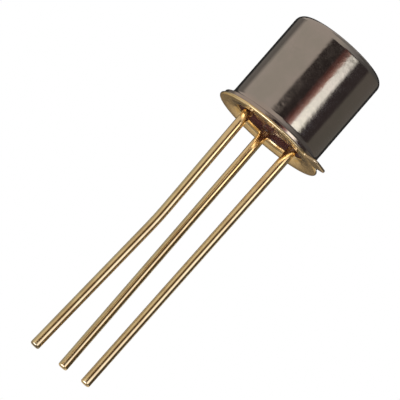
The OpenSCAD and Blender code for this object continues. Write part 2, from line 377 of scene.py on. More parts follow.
class Effects:
    """Node groups that several finishes share, each built once."""

    def __init__(self) -> None:
        """Starts with no group built."""
        self._built: dict[str, Tree] = {}

    def _placed(
        self,
        tree: Tree,
        name: str,
        output: str,
        inputs: dict[str, float],
        fill: Callable[[Tree, Node], Socket],
        values: dict[str, float],
    ) -> Socket:
        """Places a group in a material, and builds it first where it isn't there yet.

        Args:
            tree: Tree of the material.
            name: Name of the group.
            output: Name of its only output, a number.
            inputs: Name and usual value of each input, all numbers.
            fill: Adds the nodes inside and returns the socket that holds the result.
            values: Value of each input in this material.

        Returns:
            The group's output.
        """
        if name not in self._built:
            group = bpy.data.node_groups.new(name, "ShaderNodeTree")
            number = "NodeSocketFloat"
            for label, value in inputs.items():
                socket = group.interface.new_socket(
                    name=label, in_out="INPUT", socket_type=number
                )
                socket.default_value = value
            group.interface.new_socket(name=output, in_out="OUTPUT", socket_type=number)
            entry = group.nodes.new("NodeGroupInput")
            leave = group.nodes.new("NodeGroupOutput")
            group.links.new(fill(group, entry), leave.inputs[output])
            self._built[name] = group
        node = tree.nodes.new("ShaderNodeGroup")
        node.node_tree = self._built[name]
        for label, value in values.items():
            node.inputs[label].default_value = value
        return node.outputs[0]

    def mottle(self, tree: Tree, **values: float) -> Socket:
        """Cloudy mask, as of uneven plating.

        Args:
            tree: Tree of the material.
            **values: Size of the clouds in millimetres, Detail, and Low and High, its limits.

        Returns:
            The mask.
        """

        def fill(t: Tree, entry: Node) -> Socket:
            """Adds cloudy noise, spread between the two limits."""
            inputs = {
                "Vector": scaled(t),
                "Scale": maths(t, "DIVIDE", 1.0, entry.outputs["Size"]),
                "Detail": entry.outputs["Detail"],
                "Roughness": 0.55,
            }
            noise = put(t, "TexNoise", inputs).outputs[0]
            return mapped(t, noise, entry.outputs["Low"], entry.outputs["High"])

        inputs = {"Size": 1.0, "Detail": 3.0, "Low": 0.35, "High": 0.65}
        return self._placed(tree, "Plating mottle", "Mask", inputs, fill, values)

    def drawn_lines(self, tree: Tree, **values: float) -> Socket:
        """Fine lines along z, left by a drawing die.

        Args:
            tree: Tree of the material.
            **values: Pitch and Length of the lines, in millimetres.

        Returns:
            The height.
        """

        def fill(t: Tree, entry: Node) -> Socket:
            """Adds noise that is stretched along z."""
            across = maths(t, "DIVIDE", 1.0, entry.outputs["Pitch"])
            along = maths(t, "DIVIDE", 1.0, entry.outputs["Length"])
            factors = put(t, "CombineXYZ", {0: across, 1: across, 2: along}).outputs[0]
            place = maths(t, "MULTIPLY", scaled(t), factors, kind="VectorMath")
            return put(t, "TexNoise", {"Vector": place, "Scale": 1.0, "Detail": 2.0}).outputs[0]

        inputs = {"Pitch": 0.05, "Length": 1.5}
        return self._placed(tree, "Drawn lines", "Height", inputs, fill, values)

    def nicks(self, tree: Tree, **values: float) -> Socket:
        """Short handling scratches that run all ways.

        Args:
            tree: Tree of the material.
            **values: Size of the pattern in millimetres, and Amount.

        Returns:
            The mask.
        """

        def fill(t: Tree, entry: Node) -> Socket:
            """Adds thin, bent lines between the cells of a distorted pattern, here and there."""
            stretch, line_width, nowhere, full = (1.0, 1.0, 0.45), 0.035, 0.75, 0.8
            place = scaled(t, stretch)
            bend = put(t, "TexNoise", {"Vector": place, "Scale": 1.3, "Detail": 1.0})
            moved = maths(t, "ADD", place, bend.outputs["Color"], kind="VectorMath")
            inputs = {
                "Vector": moved,
                "Scale": maths(t, "DIVIDE", 1.0, entry.outputs["Size"]),
            }
            cells = put(t, "TexVoronoi", inputs, feature="DISTANCE_TO_EDGE")
            line = faded(t, cells.outputs["Distance"], 0.0, line_width)
            where = put(t, "TexNoise", {"Vector": place, "Scale": 0.9, "Detail": 0.0})
            least = maths(t, "SUBTRACT", nowhere, entry.outputs["Amount"])
            return maths(t, "MULTIPLY", line, mapped(t, where.outputs[0], least, full))

        inputs = {"Size": 0.8, "Amount": 0.25}
        return self._placed(tree, "Handling nicks", "Mask", inputs, fill, values)

    def height_band(self, tree: Tree, **values: float) -> Socket:
        """Mask that fades out above a height, with an uneven border.

        Args:
            tree: Tree of the material.
            **values: Full and Gone, the heights in millimetres, and Waver of the border.

        Returns:
            The mask.
        """

        def fill(t: Tree, entry: Node) -> Socket:
            """Compares the wavering height with the two limits."""
            place = scaled(t)
            height = put(t, "SeparateXYZ", {0: place}).outputs[2]
            noise = put(t, "TexNoise", {"Vector": place, "Scale": 2.5, "Detail": 3.0})
            centred = maths(t, "SUBTRACT", noise.outputs[0], 0.5)
            waver = maths(t, "MULTIPLY", centred, entry.outputs["Waver"])
            wavering = maths(t, "ADD", height, waver)
            return faded(t, wavering, entry.outputs["Full"], entry.outputs["Gone"])

        inputs = {"Full": 0.0, "Gone": 1.0, "Waver": 0.1}
        return self._placed(tree, "Height band", "Mask", inputs, fill, values)

    def halo(self, tree: Tree, **values: float) -> Socket:
        """Mask round an upright line that fades outwards.

        Args:
            tree: Tree of the material.
            **values: X, Y, Inner and Outer radius, in millimetres.

        Returns:
            The mask.
        """

        def fill(t: Tree, entry: Node) -> Socket:
            """Measures the distance from the line."""
            split = put(t, "SeparateXYZ", {0: scaled(t, (1.0, 1.0, 0.0))})
            x = maths(t, "SUBTRACT", split.outputs[0], entry.outputs["X"])
            y = maths(t, "SUBTRACT", split.outputs[1], entry.outputs["Y"])
            squares = maths(t, "ADD", maths(t, "MULTIPLY", x, x), maths(t, "MULTIPLY", y, y))
            distance = maths(t, "SQRT", squares)
            return faded(t, distance, entry.outputs["Inner"], entry.outputs["Outer"])

        inputs = {"X": 0.0, "Y": 0.0, "Inner": 0.2, "Outer": 0.4}
        return self._placed(tree, "Halo", "Mask", inputs, fill, values)


# ---------------------------------------------------------------- finishes


@dataclass(frozen=True)
class Surface:
    """What a finish feeds its shader over the surface.

    Attributes:
        colour: The colour.
        roughness: The roughness.
        bumps: Height and its full depth in millimetres, of each layer from the lowest up.
    """

    colour: Socket
    roughness: Socket
    bumps: Sequence[tuple[Socket, float]]


@dataclass(frozen=True, kw_only=True)
class Finish:
    """A material on one Principled shader, which each finish below gives its own surface.

    Attributes:
        name: Name of the material.
        metallic: One for metal, nothing for glass and silicon.
        roughness: Roughness where nothing is linked.
        ior: Index of refraction.
        specular: Strength of the gloss of what isn't metal.
        smooth: Lowest roughness of the surface.
        rough: Highest roughness of the surface.
    """

    name: str
    metallic: float = 1.0
    roughness: float = 0.3
    ior: float = 1.5
    specular: float = 0.5
    smooth: float
    rough: float

    def surface(self, tree: Tree, effects: Effects) -> Surface:
        """Adds what varies over the surface; each finish has its own."""
        raise NotImplementedError

    def material(self, effects: Effects) -> Material:
        """Builds the finish.

        Args:
            effects: The shared effects.

        Returns:
            The material.
        """
        material = bpy.data.materials.new(self.name)
        material.use_nodes = True
        tree = material.node_tree
        tree.nodes.clear()
        inputs = {
            "Metallic": self.metallic,
            "Roughness": self.roughness,
            "IOR": self.ior,
            "Specular IOR Level": self.specular,
        }
        shader = put(tree, "BsdfPrincipled", inputs)
        put(tree, "OutputMaterial", {"Surface": shader.outputs[0]})
        surface = self.surface(tree, effects)
        tree.links.new(surface.colour, shader.inputs["Base Color"])
        tree.links.new(surface.roughness, shader.inputs["Roughness"])
        below = None
        for height, depth in surface.bumps:
            node = put(tree, "Bump", {"Height": height, "Strength": 1.0, "Distance": depth * MM})
            if below is not None:
                tree.links.new(below, node.inputs["Normal"])
            below = node.outputs[0]
        tree.links.new(below, shader.inputs["Normal"])
        return material


@dataclass(frozen=True, kw_only=True)
class CanNickel(Finish):
    """Dull dark nickel on the drawn can, warmer near the weld, depths in millimetres."""

    name: str = "Can nickel"
    colour: Colour = (0.42, 0.365, 0.325)
    cloudy: Colour = (0.385, 0.345, 0.30)
    heated: Colour = (0.44, 0.36, 0.31)
    smooth: float = 0.09
    rough: float = 0.16
    line_depth: float = 0.0006
    peel_depth: float = 0.0014
    nick_depth: float = 0.0008

    def surface(self, tree: Tree, effects: Effects) -> Surface:
        """Adds clouds, a heated foot, drawn lines, fine grain and nicks.

        Args:
            tree: Tree of the material.
            effects: The shared effects.

        Returns:
            The surface.
        """
        clouds = effects.mottle(tree, Size=1.1, Detail=4.0, Low=0.4, High=0.62)
        heat = effects.height_band(tree, Full=0.3, Gone=0.62, Waver=0.2)
        base = blended(tree, clouds, self.colour, self.cloudy)
        warm = blended(tree, heat, base, self.heated)
        nicks = effects.nicks(tree, Size=0.9, Amount=0.2)
        colour = blended(tree, nicks, warm, self.cloudy)
        satin = effects.mottle(tree, Size=0.35, Detail=5.0, Low=0.3, High=0.7)
        roughness = mapped(tree, satin, low=self.smooth, high=self.rough)
        lines = effects.drawn_lines(tree, Pitch=0.06, Length=1.8)
        peel = effects.mottle(tree, Size=0.16, Detail=2.0, Low=0.2, High=0.8)
        bumps = [(lines, self.line_depth), (peel, self.peel_depth), (nicks, self.nick_depth)]
        return Surface(colour, roughness, bumps)


@dataclass(frozen=True, kw_only=True)
class GoldPlate(Finish):
    """Satin gold plating, browner in thin places, sizes and depths in millimetres.

    Attributes:
        bare_below: Height of a cut end, which isn't plated, where there is one.
        painted_shade_from: Radius beyond which the gold is painted darker and browner, a painted
            shade over the tab, where there is one.
    """

    colour: Colour = (0.93, 0.69, 0.36)
    thin: Colour = (0.78, 0.54, 0.27)
    smooth: float = 0.16
    rough: float = 0.3
    line_depth: float = 0.0004
    peel_depth: float = 0.0006
    nick_depth: float = 0.0006
    bare: Colour = (0.36, 0.29, 0.19)
    bare_below: float | None = None
    bare_border: float = 0.05
    bare_waver: float = 0.06
    # Painted shade: darker, browner gold over the tab, with the radius where it starts and the
    # width over which it fades in.
    painted_shade: Colour = (0.54, 0.40, 0.23)
    painted_shade_from: float | None = None
    painted_shade_border: float = 0.1

    def surface(self, tree: Tree, effects: Effects) -> Surface:
        """Adds thin places, a bare end, painted shade on the tab, drawn lines, fine grain and
        nicks.

        Args:
            tree: Tree of the material.
            effects: The shared effects.

        Returns:
            The surface.
        """
        clouds = effects.mottle(tree, Size=0.55, Detail=4.0, Low=0.42, High=0.68)
        colour = blended(tree, clouds, self.colour, self.thin)
        if self.bare_below is not None:
            gone = self.bare_below + self.bare_border
            cut = effects.height_band(tree, Full=self.bare_below, Gone=gone, Waver=self.bare_waver)
            colour = blended(tree, cut, colour, self.bare)
        # Painted shade: beyond the flange's rim, over the tab, the gold is painted darker and
        # browner.
        if self.painted_shade_from is not None:
            outer = self.painted_shade_from + self.painted_shade_border
            unshaded = effects.halo(tree, X=0.0, Y=0.0, Inner=self.painted_shade_from, Outer=outer)
            colour = blended(tree, unshaded, self.painted_shade, colour)
        satin = effects.mottle(tree, Size=0.2, Detail=5.0, Low=0.3, High=0.7)
        roughness = mapped(tree, satin, low=self.smooth, high=self.rough)
        lines = effects.drawn_lines(tree, Pitch=0.045, Length=2.4)
        peel = effects.mottle(tree, Size=0.22, Detail=2.0, Low=0.2, High=0.8)
        nicks = effects.nicks(tree, Size=0.7, Amount=0.22)
        bumps = [(lines, self.line_depth), (peel, self.peel_depth), (nicks, self.nick_depth)]
        return Surface(colour, roughness, bumps)


@dataclass(frozen=True, kw_only=True)
class SealGlass(Finish):
    """Dark fired glass, amber where it thins out over a lead, sizes in millimetres.

    Attributes:
        leads: Place of each lead.
        lead_r: Radius of a lead.
    """

    name: str = "Seal glass"
    metallic: float = 0.0
    ior: float = 1.52
    specular: float = 0.11
    leads: Sequence[Point]
    lead_r: float
    colour: Colour = (0.075, 0.026, 0.024)
    streak: Colour = (0.14, 0.055, 0.045)
    amber: Colour = (0.11, 0.045, 0.018)
    amber_reach: float = 0.12
    smooth: float = 0.07
    rough: float = 0.16
    wave_depth: float = 0.006

    def surface(self, tree: Tree, effects: Effects) -> Surface:
        """Adds swirls, an amber ring round each lead and low waves.

        Args:
            tree: Tree of the material.
            effects: The shared effects.

        Returns:
            The surface.
        """
        swirl = effects.mottle(tree, Size=0.5, Detail=3.0, Low=0.4, High=0.7)
        colour = blended(tree, swirl, self.colour, self.streak)
        outer = self.lead_r + self.amber_reach
        for x, y in self.leads:
            ring = effects.halo(tree, X=x, Y=y, Inner=self.lead_r, Outer=outer)
            colour = blended(tree, ring, colour, self.amber)
        gloss = effects.mottle(tree, Size=0.3, Detail=2.0, Low=0.3, High=0.7)
        roughness = mapped(tree, gloss, low=self.smooth, high=self.rough)
        waves = effects.mottle(tree, Size=0.3, Detail=1.0, Low=0.1, High=0.9)
        return Surface(colour, roughness, [(waves, self.wave_depth)])


@dataclass(frozen=True, kw_only=True)
class Silicon(Finish):
    """Polished silicon with fine grind marks, depth in millimetres."""

    name: str = "Silicon"
    metallic: float = 0.0
    ior: float = 3.8
    colour: Colour = (0.12, 0.13, 0.16)
    stained: Colour = (0.17, 0.15, 0.2)
    smooth: float = 0.08
    rough: float = 0.3
    grind_depth: float = 0.0001

    def surface(self, tree: Tree, effects: Effects) -> Surface:
        """Adds a thin film and grind marks.

        Args:
            tree: Tree of the material.
            effects: The shared effects.

        Returns:
            The surface.
        """
        film = effects.mottle(tree, Size=0.12, Detail=2.0)
        colour = blended(tree, film, self.colour, self.stained)
        grind = effects.drawn_lines(tree, Pitch=0.008, Length=0.2)
        roughness = mapped(tree, grind, low=self.smooth, high=self.rough)
        return Surface(colour, roughness, [(grind, self.grind_depth)])


@dataclass(frozen=True, kw_only=True)
class SoftMetal(Finish):
    """Soft bright metal, of the contact film and of the bond wires, depth in millimetres."""

    colour: Colour
    dull: Colour
    grain_depth: float = 0.0002

    def surface(self, tree: Tree, effects: Effects) -> Surface:
        """Adds a fine grain.

        Args:
            tree: Tree of the material.
            effects: The shared effects.

        Returns:
            The surface.
        """
        grain = effects.mottle(tree, Size=0.02, Detail=3.0)
        colour = blended(tree, grain, self.colour, self.dull)
        roughness = mapped(tree, grain, low=self.smooth, high=self.rough)
        return Surface(colour, roughness, [(grain, self.grain_depth)])


# ---------------------------------------------------------------- pieces


def dress(obj: Object, material: Material) -> None:
    """Gives a new piece its material and lets it ride on the body.

    Args:
        obj: The piece.
        material: Its only material.
    """
    obj.data.materials.clear()
    obj.data.materials.append(material)
    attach(obj, BODY)
    LOG.info("%s: %d faces, %s", obj.name, len(obj.data.polygons), material.name)


@dataclass
class Can:
    """Drawn can with a domed corner and a welding flange, sizes in millimetres."""

    radius: float = 2.35
    top: float = 5.0
    wall: float = 0.2
    corner_r: float = 0.36
    foot: float = 0.13
    flange_r: float = 2.625
    flange_t: float = 0.165
    edge_r: float = 0.025
    root_r: float = 0.2
    root_h: float = 0.3
    turns: int = 256

    def section(self) -> list[Point]:
        """Closed half section, from the axis on top round to the axis inside.

        Returns:
            Radius and height of each point.
        """
        upper = self.foot + self.flange_t
        inner = self.radius - self.wall
        inner_root = self.root_r + self.flange_t
        ceiling = self.top - self.wall
        inner_corner = self.corner_r - self.wall
        rim = self.flange_r - self.edge_r
        corner = (self.radius - self.corner_r, self.top - self.corner_r)
        root = [
            (self.radius + x * self.root_r, upper + (1 + y) * self.root_h)
            for x, y in arc((1.0, 0.0), 1.0, 180, 270, steps=18)
        ]
        return [
            (0.0, self.top),
            *arc(corner, self.corner_r, 90, 0, steps=20),
            *root,
            *arc((rim, upper - self.edge_r), self.edge_r, 90, 0, steps=6),
            *arc((rim, self.foot + self.edge_r), self.edge_r, 0, -90, steps=6),
            *arc((inner + inner_root, self.foot + inner_root), inner_root, 270, 180, steps=12),
            *arc((inner - inner_corner, ceiling - inner_corner), inner_corner, 0, 90, steps=8),
            (0.0, ceiling),
        ]

    def build(self, material: Material) -> None:
        """Builds the can in place of its solid and dresses it.

        Args:
            material: Nickel finish.
        """
        mesh = bmesh.new()
        skin(mesh, turned(held(self.section()), self.turns))
        obj = new_object("can_shell", mesh)
        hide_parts("can")
        dress(obj, material)


@dataclass
class Header:
    """Stamped header: flange with its index tab, turned-up rim and closed cup, in millimetres."""

    flange_r: float = 2.725
    flange_t: float = 0.13
    edge_r: float = 0.062
    cup_r: float = 2.03
    cup_top: float = 1.1
    cup_corner_r: float = 0.2
    cup_root_r: float = 0.1
    recess_r: float = 1.78
    recess_top: float = 0.85
    recess_corner_r: float = 0.06
    rim_r: float = 0.22
    dish_slope: float = 8.0
    flat_from: float = 2.58
    tab_length: float = 0.75
    tab_width: float = 1.0
    tab_corner_r: float = 0.22
    tab_notch_r: float = 0.06
    tab_angle: float = -45.0
    tab_side_steps: int = 8
    tab_end_steps: int = 6
    eyelet_r: float = 0.44
    eyelet_turns: int = 64
    turns: int = 288

    def section(self) -> list[Point]:
        """Half section from the recess's ceiling out round the flange and up to the cup's top.

        Returns:
            Radius and height of each point.
        """
        edge_x = self.flange_r - self.edge_r
        rim_x = self.recess_r + self.rim_r
        slope = math.radians(self.dish_slope)
        dish_r = (self.flat_from - rim_x) / math.sin(slope) + self.rim_r
        lift = (dish_r - self.rim_r) * (1 - math.cos(slope))
        roll = 270 - self.dish_slope
        recess = (self.recess_r - self.recess_corner_r, self.recess_top - self.recess_corner_r)
        root = (self.cup_r + self.cup_root_r, self.flange_t + self.cup_root_r)
        shoulder = (self.cup_r - self.cup_corner_r, self.cup_top - self.cup_corner_r)
        return [
            (0.0, self.recess_top),
            *arc(recess, self.recess_corner_r, 90, 0, steps=5),
            *arc((rim_x, self.rim_r + lift), self.rim_r, 180, roll, steps=16),
            *arc((self.flat_from, dish_r), dish_r, roll, 270, steps=8)[1:],
            *arc((edge_x, self.edge_r), self.edge_r, -90, 0, steps=7),
            *arc((edge_x, self.flange_t - self.edge_r), self.edge_r, 0, 90, steps=7),
            *arc(root, self.cup_root_r, 270, 180, steps=8),
            *arc(shoulder, self.cup_corner_r, 0, 90, steps=8),
            (0.0, self.cup_top),
        ]

    def outline(self) -> tuple[list[Point], list[float]]:
        """Outline of the flange with its tab.

        Returns:
            The points, anticlockwise from the tab's far side, and for each of them the angle of
            its partner on a ring inside the flange, in radians.
        """
        half, notch = self.tab_width / 2, self.tab_notch_r
        swing = math.asin((half + notch) / (self.flange_r + notch))
        notch_x = (self.flange_r + notch) * math.cos(swing)
        notch_start = 180 + math.degrees(swing)
        end = self.flange_r + self.tab_length
        corner_x, corner_y = end - self.tab_corner_r, half - self.tab_corner_r
        side = [
            *arc((notch_x, half + notch), notch, notch_start, 270, steps=8),
            *(
                (notch_x + (corner_x - notch_x) * i / self.tab_side_steps, half)
                for i in range(1, self.tab_side_steps + 1)
            ),
            *arc((corner_x, corner_y), self.tab_corner_r, 90, 0, steps=10)[1:],
            *(
                (end, corner_y * (1 - i / self.tab_end_steps))
                for i in range(1, self.tab_end_steps + 1)
            ),
        ]
        tab = [*((x, -y) for x, y in side[:-1]), *side[::-1]]
        tab_angles = [swing * (2 * i / (len(tab) - 1) - 1) for i in range(len(tab))]
        free = math.tau - 2 * swing
        round_angles = [swing + free * i / self.turns for i in range(1, self.turns)]
        rim = [polar(ORIGIN, self.flange_r, a) for a in round_angles]
        turn = math.radians(self.tab_angle)
        cos, sin = math.cos(turn), math.sin(turn)
        points = [(x * cos - y * sin, x * sin + y * cos) for x, y in [*tab, *rim]]
        return points, [a + turn for a in [*tab_angles, *round_angles]]

    def build(self, material: Material, holes: Sequence[Point]) -> None:
        """Builds the header in place of its solid and dresses it.

        Args:
            material: Gold finish.
            holes: Place of each eyelet hole, in millimetres.
        """
        outline, angles = self.outline()
        rings: Rings = []
        margin = 0.01
        limit = self.flange_r - self.edge_r - margin  # beyond it a ring follows the tab
        for r, z in held(self.section()):
            if r < ON_AXIS:
                points = [ORIGIN]
            elif r > limit:
                points = shift_outline(outline, self.flange_r - r)
            else:
                points = [polar(ORIGIN, r, a) for a in angles]
            rings.append([Vector((x, y, z)) for x, y in points])
        mesh = bmesh.new()
        skin(mesh, rings)
        obj = new_object("header_stamping", mesh)
        cut_by(obj, [self._hole(at, index) for index, at in enumerate(holes)])
        obj.data.set_sharp_from_angle(angle=math.radians(SHARP))
        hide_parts("header")
        dress(obj, material)

    def _hole(self, at: Point, index: int) -> Object:
        """Makes the cutter for one eyelet hole through the cup's top.

        Args:
            at: Place of the hole, in millimetres.
            index: Number of the hole.

        Returns:
            The cutter.
        """
        mesh = bmesh.new()
        below, above = 0.05, 0.2
        low, high = self.recess_top - below, self.cup_top + above
        r = self.eyelet_r
        skin(mesh, turned([(0.0, low), (r, low), (r, high), (0.0, high)], self.eyelet_turns, at))
        return new_object(f"hole_{index}", mesh)


@dataclass
class GlassSeal:
    """Glass fused into the cup, drawn up the leads and the wall, in millimetres.

    Attributes:
        lead_rings: Rings of points beside each lead.
        wall_rings: Rings of points beside the wall.
        crowding: Power by which the rings crowd towards the lead or the wall.
        pitch: Distance of the points elsewhere, which stay clear of the rings.
        sharp: Angle from which an edge of the glass stays sharp, in degrees.
    """

    recess_r: float = 1.78
    inset: float = 0.4
    top: float = 0.85
    cup_top: float = 1.1
    eyelet_r: float = 0.44
    lead_r: float = 0.23
    lead_meniscus: float = 0.15
    wall_meniscus: float = 0.17
    lead_steps: int = 56
    lead_rings: int = 9
    wall_steps: int = 208
    wall_rings: int = 6
    crowding: float = 1.5
    eyelet_steps: int = 64
    pitch: float = 0.09
    clearance: float = 0.03
    sharp: float = 50.0

    def height(self, x: float, y: float, leads: Sequence[Point]) -> float:
        """Height of the glass's lower face.

        Args:
            x: Place on x.
            y: Place on y.
            leads: Place of each lead.

        Returns:
            The height above the seating plane.
        """
        drop = self._cling(self.recess_r - math.hypot(x, y), self.wall_meniscus)
        for at in leads:
            away = math.hypot(x - at[0], y - at[1]) - self.lead_r
            drop = max(drop, self._cling(away, self.lead_meniscus))
        return self.inset - drop

    @staticmethod
    def _cling(away: float, size: float) -> float:
        """How far the glass is drawn down.

        Args:
            away: Distance from what it clings to.
            size: Height and width of the drawn part.

        Returns:
            The drop below the flat part.
        """
        if away >= size:
            return 0.0
        inward = size - max(away, 0.0)
        return size - math.sqrt(max(size * size - inward * inward, 0.0))

    def _plan(self, leads: Sequence[Point]) -> tuple[list[Vector], list[tuple[int, ...]]]:
        """Flat triangulation of the glass between the wall and the leads.

        Args:
            leads: Place of each lead.

        Returns:
            The points and the triangles.
        """
        points: list[Point] = []
        edges: list[tuple[int, int]] = []

        def border(centre: Point, radius: float, reach: float, rings: int, count: int) -> None:
            """Adds a border, and rings beside it that crowd towards it.

            Args:
                centre: Centre of the border.
                radius: Radius of the border.
                reach: Distance of the last ring, outwards.
                rings: Number of rings.
                count: Number of points round each of them.
            """
            first = len(points)
            edges.extend((first + i, first + (i + 1) % count) for i in range(count))
            points.extend(circle(centre, radius, count))
            for k in range(1, rings + 1):
                gap = reach * (k / rings) ** self.crowding
                points.extend(circle(centre, radius + gap, count, turn=0.5 * (k % 2)))

        border(ORIGIN, self.recess_r, -self.wall_meniscus, self.wall_rings, self.wall_steps)
        for at in leads:
            border(at, self.lead_r, self.lead_meniscus, self.lead_rings, self.lead_steps)
        reach = int(self.recess_r / self.pitch) + 1
        apart = self.lead_r + self.lead_meniscus + self.clearance
        limit = self.recess_r - self.wall_meniscus - self.clearance
        for i in range(-reach, reach + 1):
            for j in range(-reach, reach + 1):
                x, y = (i + 0.5 * (j % 2)) * self.pitch, j * self.pitch * ROW
                clear = all(math.hypot(x - at[0], y - at[1]) > apart for at in leads)
                if clear and math.hypot(x, y) < limit:
                    points.append((x, y))
        flat = [Vector(p) for p in points]
        verts, _, faces, *_ = delaunay_2d_cdt(flat, edges, [], INSIDE_BORDER, PLAN_WELD)
        kept = []
        for face in faces:
            middle = sum((verts[i] for i in face), Vector(ORIGIN)) / len(face)
            if all((middle - Vector(at)).length > self.lead_r for at in leads):
                kept.append(tuple(face))
        return list(verts), kept

    def build(self, material: Material, leads: Sequence[Point]) -> None:
        """Builds the glass in place of its solid and dresses it.

        Args:
            material: Glass finish.
            leads: Place of each lead, the collector first.
        """
        plan, faces = self._plan(leads)
        mesh = bmesh.new()
        lower = [mesh.verts.new((p.x, p.y, self.height(p.x, p.y, leads))) for p in plan]
        upper = [mesh.verts.new((p.x, p.y, self.top)) for p in plan]
        for face in faces:
            mesh.faces.new([lower[i] for i in face])
            mesh.faces.new([upper[i] for i in reversed(face)])
        borders = [e for e in mesh.edges if len(e.link_faces) == 1]
        partner = dict(zip(lower, upper, strict=True))
        for edge in borders:
            a, b = edge.verts
            if a in partner:
                mesh.faces.new([a, b, partner[b], partner[a]])
        inner, outer = self.lead_r, self.eyelet_r
        section = [(inner, self.top), (outer, self.top), (outer, self.cup_top)]
        section += [(inner, self.cup_top), (inner, self.top)]
        for at in leads[1:]:
            skin(mesh, turned(section, self.eyelet_steps, at))
        obj = new_object("glass_fill", mesh, self.sharp)
        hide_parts("glass_seal")
        dress(obj, material)


@dataclass
class Lead:
    """One lead wire, from its upper end through the glass down to its cut tip, in millimetres.

    Attributes:
        name: Name of the piece.
        node: The solid that it stands for.
        at: Place on the circle of leads.
        lean: Direction of the first bend.
        top: Height of the upper end.
        length: Length along the wire below the seating plane.
        bends: Length before each bend, its radius and its angle towards lean.
        head: Diameter and thickness of the flattened head, if it has one.
        radius: Radius of the wire.
        tip_r: Radius of the tip's edge.
        head_edge_r: Radius of the head's upper edge.
        sides: Points round the wire.
        straight_step: Length of the steps along a straight run.
        bend_steps: Steps for each degree of a bend, and the fewest of any bend.
    """

    name: str
    node: str
    at: Point
    lean: Axis
    top: float
    length: float
    bends: Sequence[tuple[float, float, float]]
    head: tuple[float, float] | None = None
    radius: float = 0.23
    tip_r: float = 0.09
    head_edge_r: float = 0.03
    sides: int = 56
    straight_step: float = 0.5
    bend_steps: int = 4

    def path(self) -> list[tuple[float, float, float]]:
        """Middle line below the seating plane.

        Returns:
            Sideways place, height and heading in radians of each point.
        """
        side, z, heading = 0.0, 0.0, 0.0
        line = [(side, z, heading)]
        left = self.length

        def straight(run: float) -> None:
            """Adds a straight run in short steps."""
            nonlocal side, z
            count = max(1, round(run / self.straight_step))
            for _ in range(count):
                side += math.sin(heading) * run / count
                z -= math.cos(heading) * run / count
                line.append((side, z, heading))

        for before, radius, angle in self.bends:
            if before > 0:
                straight(before)
            turn = math.radians(angle)
            count = max(self.bend_steps, round(abs(angle) * self.bend_steps))
            for _ in range(count):
                step = turn / count
                middle = heading + step / 2
                chord = 2 * radius * math.sin(abs(step) / 2)
                side += math.sin(middle) * chord
                z -= math.cos(middle) * chord
                heading += step
                line.append((side, z, heading))
            left -= before + radius * abs(turn)
        straight(left)
        return line

    def stations(self) -> list[tuple[float, float, float, float]]:
        """Rings of the wire, from its top to its tip.

        Returns:
            Sideways place, height, heading in radians and radius of each ring.
        """
        line = self.path()
        out = [(0.0, self.top, 0.0, self.radius)]
        if self.head is not None:
            wide, low = self.head[0] / 2, self.top - self.head[1]
            edge_r = self.head_edge_r
            crown = arc((wide - edge_r, self.top - edge_r), edge_r, 90, 0, steps=4)
            out = [(0.0, z, 0.0, r) for r, z in crown]
            out += [(0.0, low, 0.0, wide), (0.0, low, 0.0, self.radius)]
        out.append((0.0, 0.0, 0.0, self.radius))
        out += [(*place, self.radius) for place in line[1:-1]]
        side, z, heading = line[-1]
        for r, drop in arc((self.radius - self.tip_r, 0.0), self.tip_r, 0, 90, steps=6):
            back = self.tip_r - drop
            out.append((side - math.sin(heading) * back, z + math.cos(heading) * back, heading, r))
        return out

    def build(self, material: Material) -> None:
        """Builds the lead in place of its solid and dresses it.

        Args:
            material: Gold finish.
        """
        stations = self.stations()
        rings = [self._ring(*stations[0][:3], 0.0)]
        rings += [self._ring(*station) for station in stations]
        rings.append(self._ring(*stations[-1][:3], 0.0))
        mesh = bmesh.new()
        skin(mesh, rings)
        obj = new_object(self.name, mesh)
        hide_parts(self.node)
        dress(obj, material)

    def _ring(self, side: float, z: float, heading: float, radius: float) -> list[Vector]:
        """One ring of points across the wire, or its middle where the radius is nothing.

        Args:
            side: Sideways place of its middle.
            z: Height of its middle.
            heading: Heading of the wire, in radians.
            radius: Radius of the ring.

        Returns:
            The points.
        """
        lean = Vector((*self.lean.value, 0.0))
        middle = Vector((*self.at, z)) + lean * side
        if radius == 0.0:
            return [middle]
        along = lean * math.sin(heading) - UP * math.cos(heading)
        across = UP.cross(lean)
        other = along.cross(across)
        return [middle + across * x + other * y for x, y in circle(ORIGIN, radius, self.sides)]


@dataclass
class DieStack:
    """Silicon die with its contacts, preform and bond wires, which keep their own solids."""

    finishes: dict[str, tuple[Material, Slot]]

    def dress_all(self, nodes: dict[str, Object]) -> None:
        """Gives each inner solid its finish.

        Args:
            nodes: The loaded solids by name.
        """
        for name, (material, slot) in self.finishes.items():
            obj = nodes[name]
            obj.data.materials.clear()
            obj.data.materials.append(material)
            LOG.info("%s: own solid, %s", name, material.name)


# ---------------------------------------------------------------- studio

GREY = (0.635, 0.595, 0.555)  # brightness of the tent's plain cards


